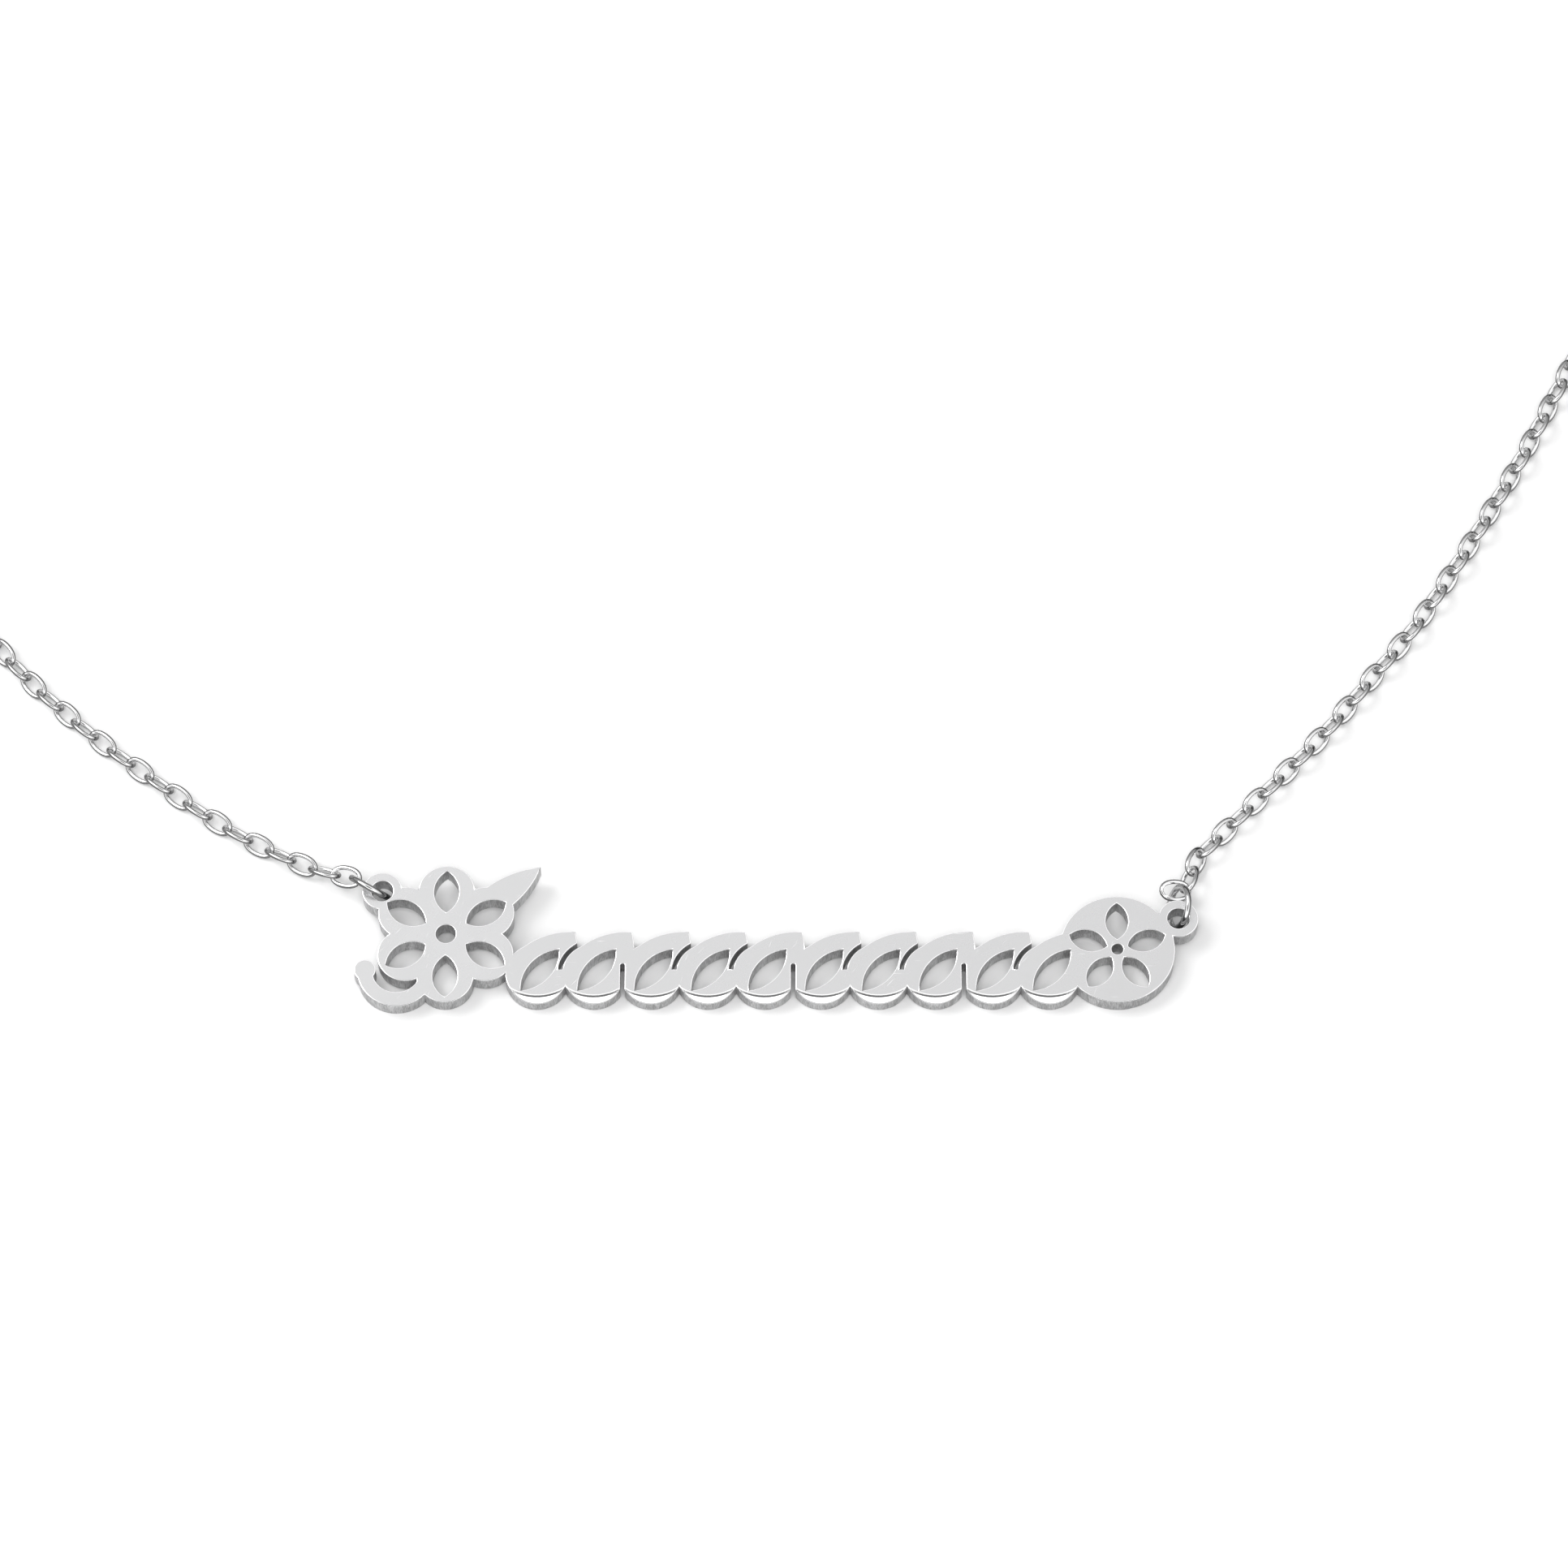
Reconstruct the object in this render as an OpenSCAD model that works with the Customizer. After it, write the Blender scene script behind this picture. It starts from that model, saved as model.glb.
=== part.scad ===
// Nameplate necklace lying open on a table: pierced plate, jump rings, cable chain, clasp.
// Origin: middle of the whole loop on the table. X runs along the plate, +Y towards the clasp, Z up.

/* [Plate] */
// thickness of the plate
plate_t = 1.2; // [1:0.05:1.3]
// radius of the hole in each eyelet
eye_hole_r = 0.66; // [0.64:0.01:0.7]
// width of metal round each eyelet's hole
eye_rim = 0.54; // [0.5:0.02:0.6]
// clearance between the jump rings' wire and the plate above it
lift_gap = 0.1; // [0.08:0.01:0.14]

/* [Flower] */
// radius of the circle on which the petals' centres lie
flower_ring_r = 2.75; // [2.6:0.05:2.9]
// radius of one rounded petal
petal_r = 1.7; // [1.6:0.02:1.8]
// length of the almond opening in a petal
petal_slot_l = 2.7; // [2.3:0.1:2.7]
// width of the almond opening in a petal
petal_slot_w = 1.5; // [1.2:0.05:1.55]
// radius of the hole in the flower's middle
flower_hole_r = 0.6; // [0.4:0.05:0.7]
// length of the leaf that sweeps up beside the flower
sweep_l = 6.4; // [5.8:0.1:7]
// width of the leaf that sweeps up beside the flower
sweep_w = 1.9; // [1.6:0.1:2.2]
// radius of the tendril under the flower, to the middle of its band
tendril_r = 1.9; // [1.8:0.05:2]
// width of the tendril's band
tendril_w = 0.9; // [0.7:0.05:1]

/* [Leaf row] */
// number of leaves in the row
leaf_count = 10; // [9:1:10]
// distance from one leaf to the next
leaf_pitch = 3.4; // [3.35:0.05:3.5]
// radius of the rounded foot of a leaf
leaf_r = 1.9; // [1.85:0.05:2.05]
// length from the middle of the foot to the leaf's tip
leaf_reach = 3.5; // [3.2:0.1:3.8]
// lean of the leaves from the row's direction
leaf_lean = 50; // [46:1:54]
// length of the almond opening in a leaf
leaf_slot_l = 3.5; // [3.1:0.1:3.6]
// width of the almond opening in a leaf
leaf_slot_w = 1.4; // [1:0.05:1.5]
// width of the slits between leaves
slit_w = 0.28; // [0.25:0.01:0.32]

/* [Bevel] */
// width of the polished bevel at the middle of a scallop
bevel_w = 0.42; // [0.3:0.02:0.5]
// depth of the polished bevel at the middle of a scallop
bevel_h = 0.3; // [0.2:0.02:0.4]
// radius of the shallow arc in which the bevel meets the face
bevel_r = 2.9; // [2.8:0.05:3.3]

/* [Roundel] */
// radius of the round end piece
roundel_r = 3.45; // [3.35:0.05:3.6]
// length of the almond openings in the round end piece
roundel_slot_l = 2.35; // [2:0.05:2.4]
// width of the almond openings in the round end piece
roundel_slot_w = 1.35; // [1.1:0.05:1.4]

/* [Jump rings] */
// diameter of the jump rings' wire
ring_wire = 0.4; // [0.38:0.01:0.42]
// radius of a jump ring, to the middle of its wire
ring_r = 1.25; // [1.24:0.01:1.28]
// lean of a jump ring from upright
ring_lean = 24.5; // [24:0.5:25]

/* [Chain] */
// diameter of a link's wire
link_wire = 0.3; // [0.26:0.01:0.31]
// inner length of a link
link_inner_l = 1.65; // [1.62:0.01:1.7]
// outer width of a link
link_outer_w = 1.4; // [1.38:0.01:1.5]
// clear gap between linked links in the taut left chain
taut_gap = 0.13; // [0.12:0.01:0.16]
// clear gap between linked links in the slacker right chain
slack_gap = 0.22; // [0.18:0.01:0.26]

/* [Clasp] */
// diameter of the tube clasp
clasp_d = 2.2; // [2.2:0.1:2.8]
// length of the tube clasp without its eyes
clasp_l = 6; // [5:0.5:8]

/* [Hidden] */
$fn = 48;

// Reach of cutting tools past the metal that they cut.
over = 1;

// Places on the plate, in X from its middle and Y from the row's lower edge.
flower_at = [-20.1, flower_ring_r + petal_r];
row_x = -14.6;
roundel_at = [20.1, roundel_r];

// The plate's place in the loop: how far its lower edge lies from the middle of the loop.
plate_at = [1.2, -67];

// Angle of a flower's or roundel's eyelet, and how far its hole lies out from the rim.
left_eye_angle = 144;
left_eye_out = 0.33;
right_eye_angle = 28.5;
right_eye_out = 0.75;
eye_r = eye_hole_r + eye_rim;
left_eye = flower_at + (flower_ring_r + petal_r + left_eye_out)
    * [cos(left_eye_angle), sin(left_eye_angle)];
right_eye = roundel_at + (roundel_r + right_eye_out)
    * [cos(right_eye_angle), sin(right_eye_angle)];

petals = 6;

// Openings of the round end piece: their number, how far out they lie, and the hole between them.
openings = 5;
opening_ring_r = 0.53 * roundel_r;
roundel_hole_r = 0.35;

// The tendril's middle, left of the flower's, so that its lowest point is a little under the row's edge.
tendril_left = 2.9;
tendril_drop = 0.25;
tendril_at = [flower_at[0] - tendril_left, tendril_r + tendril_w / 2 - tendril_drop];
tendril_end_r = 0.65;

// The sweeping leaf's middle, from the flower's, and its lean.
sweep_from_flower = [3.1, 2.4];
sweep_at = flower_at + sweep_from_flower;
sweep_lean = 38;

// Width of a leaf's blade, a little less than its foot's, and how far its opening lies up the blade.
blade_share = 0.95;
leaf_w = 2 * blade_share * leaf_r;
leaf_slot_at = [0.25, 0];

// Height on the row from which the slits run up between leaves, and up to which the few lower slits run,
// both a little above the middle of the leaves' feet.
slit_from = leaf_r + 0.23;
low_slit_to = leaf_r + 0.475;
low_slit_first = 2;
low_slit_step = 3;

// The wire under the eyelets lifts the plate's far edge.
plate_tilt = asin((ring_wire + lift_gap) / (right_eye[1] + tendril_drop));

// Height of a link's middle when its two lower corners rest on the table.
link_half_w = (link_outer_w - link_wire) / 2;
link_half_l = (link_inner_l + link_wire) / 2;
link_roll = 45;
link_z = link_half_w * sin(link_roll) + link_wire / 2;

// Heading of each jump ring from its eyelet, and how far out its middle lies.
ring_left_heading = 148;
ring_right_heading = 94;
ring_out = 0.89;
ring_z = ring_r * cos(ring_lean) + ring_wire / 2;

// Where each jump ring's wire passes through the first link: angle round the ring below its middle,
// and distance from the link's middle towards its inner end.
left_hold_angle = 3;
right_hold_angle = 8;
left_hold = 0.48;
right_hold = 0;
// Roll, fall and heading of the first links, which hang loose on the jump rings.
left_start = [-25, 14, 160];
right_start = [19, 22, 13];
// The second link's middle from the first link's.
left_next = [-1.32, 0.5, -0.28];
right_next = [0.87, 0.88, -0.2];

// Routes of the two chains on the table, in the plate's X and Y, after their second links.
left_route = [[-28.4, 9.3], [-33.3, 12], [-38.2, 15.6], [-42.8, 19.4], [-47.7, 24.5], [-54.2, 33.8],
    [-59.6, 45.5], [-62.8, 59], [-63.4, 74], [-61, 89], [-55, 103.2],
    [-45.8, 115], [-34, 124.6], [-21.5, 130.3], [-10, 132.8]];
right_route = [[25.3, 10.2], [28.9, 14.2], [32.8, 18.5], [36.4, 23.1], [39.7, 27.6], [45.2, 37], [50.2, 47],
    [56.2, 59], [60.4, 73], [61, 88], [57.4, 102], [49.4, 114.6], [38.5, 124.4], [26, 130.2], [14, 132.8]];
// Where the clasp's middle lies on the same plan, and its heading.
clasp_at = [2, 133];

// Samples between two route points.
steps = 12;
// Length over which a chain comes down from its jump ring to the table.
drop_length = 4.5;

function plan(p) = [plate_at[0] + p[0], plate_at[1] + p[1]];
function spline_point(a, b, c, d, t) = 0.5 * (2 * b + (c - a) * t + (2 * a - 5 * b + 4 * c - d) * t * t
    + (3 * b - a - 3 * c + d) * t * t * t);
function spline(p) = let (n = len(p), q = concat([2 * p[0] - p[1]], p, [2 * p[n - 1] - p[n - 2]]))
    concat([for (i = [1 : n - 1]) for (k = [0 : steps - 1])
        spline_point(q[i - 1], q[i], q[i + 1], q[i + 2], k / steps)], [p[n - 1]]);
function lengths(p) = [for (i = 0, s = 0; i < len(p);
    s = s + (i + 1 < len(p) ? norm(p[i + 1] - p[i]) : 0), i = i + 1) s];

// A point of the tilted plate, in the loop's frame.
function on_plate(p) = [plate_at[0] + p[0],
    plate_at[1] + p[1] * cos(plate_tilt) - p[2] * sin(plate_tilt),
    (p[1] + tendril_drop) * sin(plate_tilt) + p[2] * cos(plate_tilt)];

// The middle of a jump ring: out from the eyelet, and sideways so that the leaning wire clears the hole.
function ring_at(eye, heading, lean) = let (e = on_plate([eye[0], eye[1], plate_t / 2]),
    side = (e[2] - ring_z) * tan(lean))
    [e[0] + ring_out * cos(heading) - side * sin(heading),
     e[1] + ring_out * sin(heading) + side * cos(heading),
        ring_z];

// A point on a jump ring's wire, at an angle below the far side of the ring.
function ring_point(at, heading, lean, angle) = let (low = ring_r * sin(angle), out = ring_r * cos(angle))
    [at[0] + out * cos(heading) - low * sin(lean) * sin(heading),
        at[1] + out * sin(heading) + low * sin(lean) * cos(heading),
        at[2] - low * cos(lean)];

// The first link's middle, so that the ring's wire passes through it at its hold.
function first_link(point, start, hold) = point
    + hold * [cos(start[2]) * cos(start[1]), sin(start[2]) * cos(start[1]), -sin(start[1])];

ring_left_at = ring_at(left_eye, ring_left_heading, -ring_lean);
ring_right_at = ring_at(right_eye, ring_right_heading, ring_lean);
left_first = first_link(ring_point(ring_left_at, ring_left_heading, -ring_lean, left_hold_angle),
    left_start, left_hold);
right_first = first_link(ring_point(ring_right_at, ring_right_heading, ring_lean, right_hold_angle),
    right_start, right_hold);
left_second = left_first + left_next;
right_second = right_first + right_next;

// The clasp's eyes are half sunk in its ends, a little below its middle.
eye_out = 0.1;
eye_drop = 0.4;
eye_reach = clasp_l / 2 + eye_out;
eye_z = clasp_d / 2 - eye_drop;

left_samples = spline(concat([[left_second[0], left_second[1]]], [for (p = left_route) plan(p)],
    [plan(clasp_at - [eye_reach, 0])]));
right_samples = spline(concat([[right_second[0], right_second[1]]], [for (p = right_route) plan(p)],
    [plan(clasp_at + [eye_reach, 0])]));
left_length = lengths(left_samples)[len(left_samples) - 1];
right_length = lengths(right_samples)[len(right_samples) - 1];
left_count = 1 + round(left_length / (link_inner_l - taut_gap));
right_count = 1 + round(right_length / (link_inner_l - slack_gap));
left_roll = -link_roll;
right_roll = link_roll;

module lens(len, wid) {
    r = (len * len + wid * wid) / (4 * wid);
    intersection() {
        translate([0, r - wid / 2]) circle(r);
        translate([0, wid / 2 - r]) circle(r);
    }
}

module leaf_blade(extra) {
    rotate(leaf_lean) intersection() {
        lens(2 * (leaf_reach + extra), leaf_w + 2 * extra);
        translate([0, -2 * leaf_r]) square([leaf_reach + 2 * extra, 4 * leaf_r]);
    }
}

module leaf_outline(extra) {
    circle(leaf_r + extra);
    leaf_blade(extra);
}

module slit_above() {
    intersection() {
        difference() {
            leaf_outline(slit_w);
            leaf_outline(0);
        }
        translate([-2 * leaf_r, slit_from - leaf_r]) square([2.4 * leaf_r, 2 * leaf_r]);
    }
}

module slit_below() {
    translate([-slit_w / 2, -over]) square([slit_w, low_slit_to + over]);
    translate([0, low_slit_to]) circle(d = slit_w);
}

module flower_outline() {
    for (k = [0 : petals - 1]) rotate((k + 0.5) * 360 / petals) translate([flower_ring_r, 0]) circle(petal_r);
    circle(flower_ring_r);
}

module flower_openings() {
    for (k = [0 : petals - 1]) rotate((k + 0.5) * 360 / petals)
        translate([flower_ring_r, 0]) lens(petal_slot_l, petal_slot_w);
    circle(flower_hole_r);
}

module tendril() {
    difference() {
        circle(tendril_r + tendril_w / 2);
        circle(tendril_r - tendril_w / 2);
        translate([-2 * tendril_r, 0]) square([4 * tendril_r, 2 * tendril_r]);
    }
    translate([-tendril_r, 0]) circle(tendril_end_r);
}

module roundel_openings() {
    for (k = [0 : openings - 1]) rotate(90 + k * 360 / openings)
        translate([opening_ring_r, 0]) lens(roundel_slot_l, roundel_slot_w);
    circle(roundel_hole_r);
}

module plate_2d() {
    difference() {
        union() {
            translate(flower_at) flower_outline();
            translate(sweep_at) rotate(sweep_lean) lens(sweep_l, sweep_w);
            translate(tendril_at) tendril();
            for (i = [0 : leaf_count - 1]) translate([row_x + i * leaf_pitch, leaf_r]) leaf_outline(0);
            translate(roundel_at) circle(roundel_r);
            translate(left_eye) circle(eye_r);
            translate(right_eye) circle(eye_r);
        }
        translate(flower_at) flower_openings();
        for (i = [0 : leaf_count - 1]) translate([row_x + i * leaf_pitch, leaf_r])
            rotate(leaf_lean) translate(leaf_slot_at) lens(leaf_slot_l, leaf_slot_w);
        for (i = [1 : leaf_count - 1]) translate([row_x + i * leaf_pitch, leaf_r])
            if ((i - low_slit_first) % low_slit_step == 0) translate([-leaf_pitch / 2, -leaf_r]) slit_below();
            else slit_above();
        translate(roundel_at) roundel_openings();
        translate(left_eye) circle(eye_hole_r);
        translate(right_eye) circle(eye_hole_r);
    }
}

module bevel_cutter() {
    slope = bevel_w / bevel_h;
    difference() {
        translate([-leaf_pitch / 2, -over, -2 * bevel_h])
            cube([leaf_pitch, over + leaf_r, 2 * bevel_h + over]);
        translate([0, bevel_w + bevel_r, -2 * bevel_h - over])
            cylinder(h = 2 * (bevel_h + over), r1 = bevel_r + slope * (2 * bevel_h + over),
                r2 = bevel_r - slope * over);
    }
}

module nameplate() {
    color("silver") translate([plate_at[0], plate_at[1], tendril_drop * sin(plate_tilt)])
        rotate([plate_tilt, 0, 0])
        difference() {
            linear_extrude(plate_t) plate_2d();
            for (i = [0 : leaf_count - 1]) translate([row_x + i * leaf_pitch, 0, plate_t]) bevel_cutter();
        }
}

module jump_ring(at, heading, lean) {
    color("silver") translate(at) rotate([0, 0, heading]) rotate([90 + lean, 0, 0])
        rotate_extrude() translate([ring_r, 0]) circle(d = ring_wire);
}

module jump_ring_left() {
    jump_ring(ring_left_at, ring_left_heading, -ring_lean);
}

module jump_ring_right() {
    jump_ring(ring_right_at, ring_right_heading, ring_lean);
}

module half_link() {
    translate([link_half_l - link_half_w, 0, 0]) rotate([0, 0, -90])
        rotate_extrude(angle = 180) translate([link_half_w, 0]) circle(d = link_wire);
    translate([link_half_w - link_half_l, link_half_w, 0]) rotate([0, 90, 0])
        cylinder(h = 2 * (link_half_l - link_half_w), d = link_wire);
}

module link() {
    half_link();
    rotate([0, 0, 180]) half_link();
}

// The links of one chain from its jump ring to the clasp's eye, each turned the other way from the last.
module chain(samples, first, start, second, count, roll) {
    at = lengths(samples);
    total = at[len(at) - 1];
    along_x = [for (i = [0 : len(at) - 1]) [at[i], samples[i][0]]];
    along_y = [for (i = [0 : len(at) - 1]) [at[i], samples[i][1]]];
    function spot(s) = [lookup(s, along_x), lookup(s, along_y), link_z
        + (second[2] - link_z) * pow(max(0, 1 - s / drop_length), 2)
        + (eye_z - link_z) * pow(max(0, 1 - (total - s) / drop_length), 2)];
    color("silver") {
        translate(first) rotate(start) link();
        for (k = [1 : count - 1]) {
            s = total * (k - 1) / (count - 1);
            d = spot(min(s + link_half_l, total)) - spot(max(s - link_half_l, 0));
            translate(spot(s)) rotate([0, -atan2(d[2], norm([d[0], d[1]])), atan2(d[1], d[0])])
                rotate([k % 2 == 0 ? roll : -roll, 0, 0]) link();
        }
    }
}

module chain_left() {
    chain(left_samples, left_first, left_start, left_second, left_count, left_roll);
}

module chain_right() {
    chain(right_samples, right_first, right_start, right_second, right_count, right_roll);
}

module clasp() {
    color("silver") translate([plan(clasp_at)[0], plan(clasp_at)[1], 0]) {
        translate([-clasp_l / 2, 0, clasp_d / 2]) rotate([0, 90, 0]) cylinder(h = clasp_l, d = clasp_d);
        translate([-eye_reach, 0, eye_z]) rotate([left_count % 2 == 0 ? left_roll : -left_roll, 0, 0]) link();
        translate([eye_reach, 0, eye_z])
            rotate([right_count % 2 == 0 ? -right_roll : right_roll, 0, 0]) link();
    }
}

nameplate();
jump_ring_left();
jump_ring_right();
chain_left();
chain_right();
clasp();
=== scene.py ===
"""Nameplate necklace: a pierced steel plate on a fine cable chain, lying on a white table."""

import math

import bmesh
import bpy
import numpy as np
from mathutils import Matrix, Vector


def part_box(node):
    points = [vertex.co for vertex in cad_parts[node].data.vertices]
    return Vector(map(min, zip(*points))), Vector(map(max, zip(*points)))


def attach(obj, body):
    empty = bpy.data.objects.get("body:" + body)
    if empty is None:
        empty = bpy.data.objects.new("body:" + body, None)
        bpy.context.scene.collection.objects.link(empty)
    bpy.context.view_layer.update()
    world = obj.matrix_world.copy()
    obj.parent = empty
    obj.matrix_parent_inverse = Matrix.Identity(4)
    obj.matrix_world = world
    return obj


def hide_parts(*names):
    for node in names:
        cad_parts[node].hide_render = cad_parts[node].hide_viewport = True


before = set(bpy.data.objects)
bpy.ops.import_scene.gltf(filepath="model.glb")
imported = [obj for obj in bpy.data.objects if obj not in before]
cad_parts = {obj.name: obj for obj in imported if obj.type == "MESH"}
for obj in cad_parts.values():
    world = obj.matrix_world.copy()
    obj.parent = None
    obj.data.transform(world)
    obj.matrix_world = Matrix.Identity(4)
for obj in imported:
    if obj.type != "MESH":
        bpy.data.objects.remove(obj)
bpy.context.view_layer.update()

bl_info = {
    "name": "Nameplate Necklace",
    "version": (1, 0, 0),
    "blender": (4, 5, 0),
    "location": "View3D > Sidebar > Necklace",
    "description": "Pierced steel plate, jump rings, cable chain and tube clasp on a white table",
    "category": "Object",
}

# Settings: sizes in metres, colours as linear red, green and blue

def length_setting(name, description, default, **limits):
    """A length in metres."""
    return bpy.props.FloatProperty(name=name, description=description, default=default, precision=6,
                                   unit="LENGTH", subtype="DISTANCE", **limits)


def angle_setting(name, description, degrees):
    """An angle, given in degrees and kept in radians."""
    return bpy.props.FloatProperty(name=name, description=description, default=math.radians(degrees),
                                   unit="ROTATION", subtype="ANGLE")


def share_setting(name, description, default):
    """A number from 0 to 1."""
    return bpy.props.FloatProperty(name=name, description=description, default=default, min=0, max=1,
                                   subtype="FACTOR")


def color_setting(name, description, default):
    """A linear colour."""
    return bpy.props.FloatVectorProperty(name=name, description=description, default=default, subtype="COLOR")


def light_setting(name, description, default):
    """A brightness, where a white surface in light of brightness 1 is just white in the picture."""
    return bpy.props.FloatProperty(name=name, description=description, default=default, min=0)


def count_setting(name, description, default, least, most):
    """A number of rows, columns or facets."""
    return bpy.props.IntProperty(name=name, description=description, default=default, min=least, max=most)


class PlateSettings(bpy.types.PropertyGroup):
    edge_radius: length_setting(
        "Edge radius", "Radius of the polished edge round the face and the openings", 0.00010,
        min=0.00001, max=0.0002)
    edge_steps: count_setting("Edge steps", "Number of facets across the polished edge", 3, 1, 4)
    face_color: color_setting("Face colour", "Colour of the satin face", (0.62, 0.62, 0.625))
    face_roughness: share_setting("Face roughness", "Roughness of the satin face", 0.22)
    wall_color: color_setting("Wall colour", "Colour of the cut walls", (0.86, 0.86, 0.865))
    wall_roughness: share_setting("Wall roughness", "Roughness of the cut walls", 0.34)
    break_depth: length_setting(
        "Break depth", "Depth below the face of the rounded break above each bevel", 0.00007)
    break_rise: length_setting("Break rise", "How much flatter the break is than the bevel", 0.00003)
    rim_color: color_setting("Bevel colour", "Colour of the polished bevels and edges", (0.95, 0.95, 0.955))
    rim_roughness: share_setting("Bevel roughness", "Roughness of the polished bevels and edges", 0.12)


class WireSettings(bpy.types.PropertyGroup):
    link_squareness: bpy.props.FloatProperty(
        name="Link fullness", description="Exponent of a link's oval: 2 is an ellipse, more is fuller",
        default=2.25, min=2, max=4)
    link_steps: count_setting("Link steps", "Cage rows along a link", 12, 8, 24)
    link_sides: count_setting("Wire sides", "Cage columns round a link's wire", 6, 4, 12)
    ring_steps: count_setting("Ring steps", "Cage rows round a jump ring", 32, 12, 64)
    ring_sides: count_setting("Ring sides", "Cage columns round a jump ring's wire", 8, 4, 16)
    wire_color: color_setting("Wire colour", "Colour of the bright wire", (0.96, 0.96, 0.965))
    # The wire's edge darkening is a painted reflection: its colour is darker where it turns away from the
    # eye.
    wire_painted_edge_dark: share_setting("Painted wire edge", "How much darker the wire is where it turns away", 0.75)
    wire_roughness: share_setting("Wire roughness", "Roughness of the bright wire", 0.09)


class ClaspSettings(bpy.types.PropertyGroup):
    end_radius: length_setting(
        "End rounding", "Radius of the tube's rounded ends", 0.0004, min=0.0001, max=0.001)
    tube_sides: count_setting("Tube sides", "Number of facets round the tube", 48, 12, 96)
    end_steps: count_setting("End steps", "Number of rows across a rounded end", 6, 2, 12)
    eye_length: length_setting(
        "Eye length", "Length of the oval eye in each end, as long as a link", 0.00225)
    eye_width: length_setting("Eye width", "Width of an eye, as wide as a link", 0.0014)
    eye_out: length_setting("Eye place", "How far an eye's middle stands out from the tube's end", 0.0001)
    eye_wire: length_setting("Eye wire", "Thickness of an eye's wire", 0.0003)
    eye_height: length_setting("Eye height", "Height of the eyes' middle above the table", 0.0007)
    eye_roll: angle_setting("Eye roll", "How far the eyes are turned from lying flat", 45)
    eye_steps: count_setting("Eye steps", "Number of rows along an eye", 24, 12, 48)
    eye_sides: count_setting("Eye sides", "Number of columns round an eye's wire", 10, 6, 16)
    color: color_setting("Clasp colour", "Colour of the clasp's steel", (0.86, 0.86, 0.87))
    roughness: share_setting("Clasp roughness", "Roughness of the clasp's steel", 0.14)


class StudioSettings(bpy.types.PropertyGroup):
    elevation: angle_setting("Camera height angle", "Angle of the camera above the table", 60)
    distance: length_setting("Camera distance", "From the camera to the point it looks at", 0.45)
    target: bpy.props.FloatVectorProperty(
        name="Looked-at point", description="Point on the table at the middle of the picture",
        default=(0.00135, -0.0514, 0.0), precision=5, unit="LENGTH", subtype="XYZ")
    lens: bpy.props.FloatProperty(
        name="Lens", description="Focal length in millimetres on a 36 mm wide sensor", default=169.85)
    key: light_setting(
        "Key light", "Brightness of the soft light at the upper left, over the tent's", 4.3)
    front: light_setting(
        "Front light", "Brightness of the soft light in front, which the bevels mirror, over the tent's", 0.5)
    beside: light_setting(
        "Camera side light",
        "Brightness of the soft light round the camera, which reaches the table in the openings", 3.2)
    tent: light_setting("Tent", "Brightness of the white tent all round, as the steel mirrors it", 1.12)
    fill: share_setting("Fill", "Share of the tent's brightness that falls on the table", 0.46)
    gap_size: angle_setting("Tent gap", "Half the angle of the dark gap in the tent's front", 20)
    gap_height: angle_setting("Gap height", "Angle of the gap's middle above the table", 68)
    skirt: angle_setting(
        "Dark skirt", "Angle above the table up to which the mirrored tent is dark, where it is highest", 25)
    table_echo: share_setting("Table echo", "How bright the steel mirrors the table", 0.7)
    table_color: color_setting("Table colour", "Colour of the table", (0.92, 0.92, 0.92))


SETTINGS = {
    "necklace_plate": PlateSettings,
    "necklace_wire": WireSettings,
    "necklace_clasp": ClaspSettings,
    "necklace_studio": StudioSettings,
}

# Shapes

def mesh_piece(name, points, faces, materials, smooth=True):
    """A mesh object at the origin from an array of points and its faces."""
    mesh = bpy.data.meshes.new(name)
    mesh.from_pydata(points.reshape(-1, 3), [], faces)
    for material in materials:
        mesh.materials.append(material)
    mesh.polygons.foreach_set("use_smooth", np.full(len(mesh.polygons), smooth))
    mesh.update()
    piece = bpy.data.objects.new(name, mesh)
    bpy.context.scene.collection.objects.link(piece)
    return piece


def values_of(items, name, width=1, kind=float):
    """One property of all of a mesh's corners, edges or faces, as an array with a row for each."""
    values = np.empty(width * len(items), dtype=kind)
    items.foreach_get(name, values)
    return values.reshape(-1, width) if width > 1 else values


def smooth_once(piece):
    """One level of Catmull-Clark smoothing, the same in the view and the render."""
    modifier = piece.modifiers.new("smooth", "SUBSURF")
    modifier.levels = modifier.render_levels = 1


def round_angles(columns):
    """Equal steps once round: v = 2 pi j / columns."""
    return np.arange(columns) * 2 * np.pi / columns


def closed_grid(rows, columns):
    """Quads of a grid that closes both ways: row i and column j join row i + 1 and column j + 1."""
    i, j = np.meshgrid(np.arange(rows), np.arange(columns), indexing="ij")
    k, m = (i + 1) % rows, (j + 1) % columns
    quads = [i * columns + j, k * columns + j, k * columns + m, i * columns + m]
    return np.stack(quads, axis=-1).reshape(-1, 4)


def oval(half_length, half_width, fullness, rows, samples=721):
    """A closed oval in a plane, taken at equal steps of its arc.

    x = a sgn(cos t) |cos t|^(2/n), y = b sgn(sin t) |sin t|^(2/n), for t once round and the fullness n."""
    t = np.linspace(0, 2 * np.pi, samples)
    x = half_length * np.sign(np.cos(t)) * np.abs(np.cos(t)) ** (2 / fullness)
    y = half_width * np.sign(np.sin(t)) * np.abs(np.sin(t)) ** (2 / fullness)
    arc = np.concatenate([[0], np.cumsum(np.hypot(np.diff(x), np.diff(y)))])
    at = np.linspace(0, arc[-1], rows, endpoint=False)
    return np.stack([np.interp(at, arc, x), np.interp(at, arc, y)], axis=1)


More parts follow.
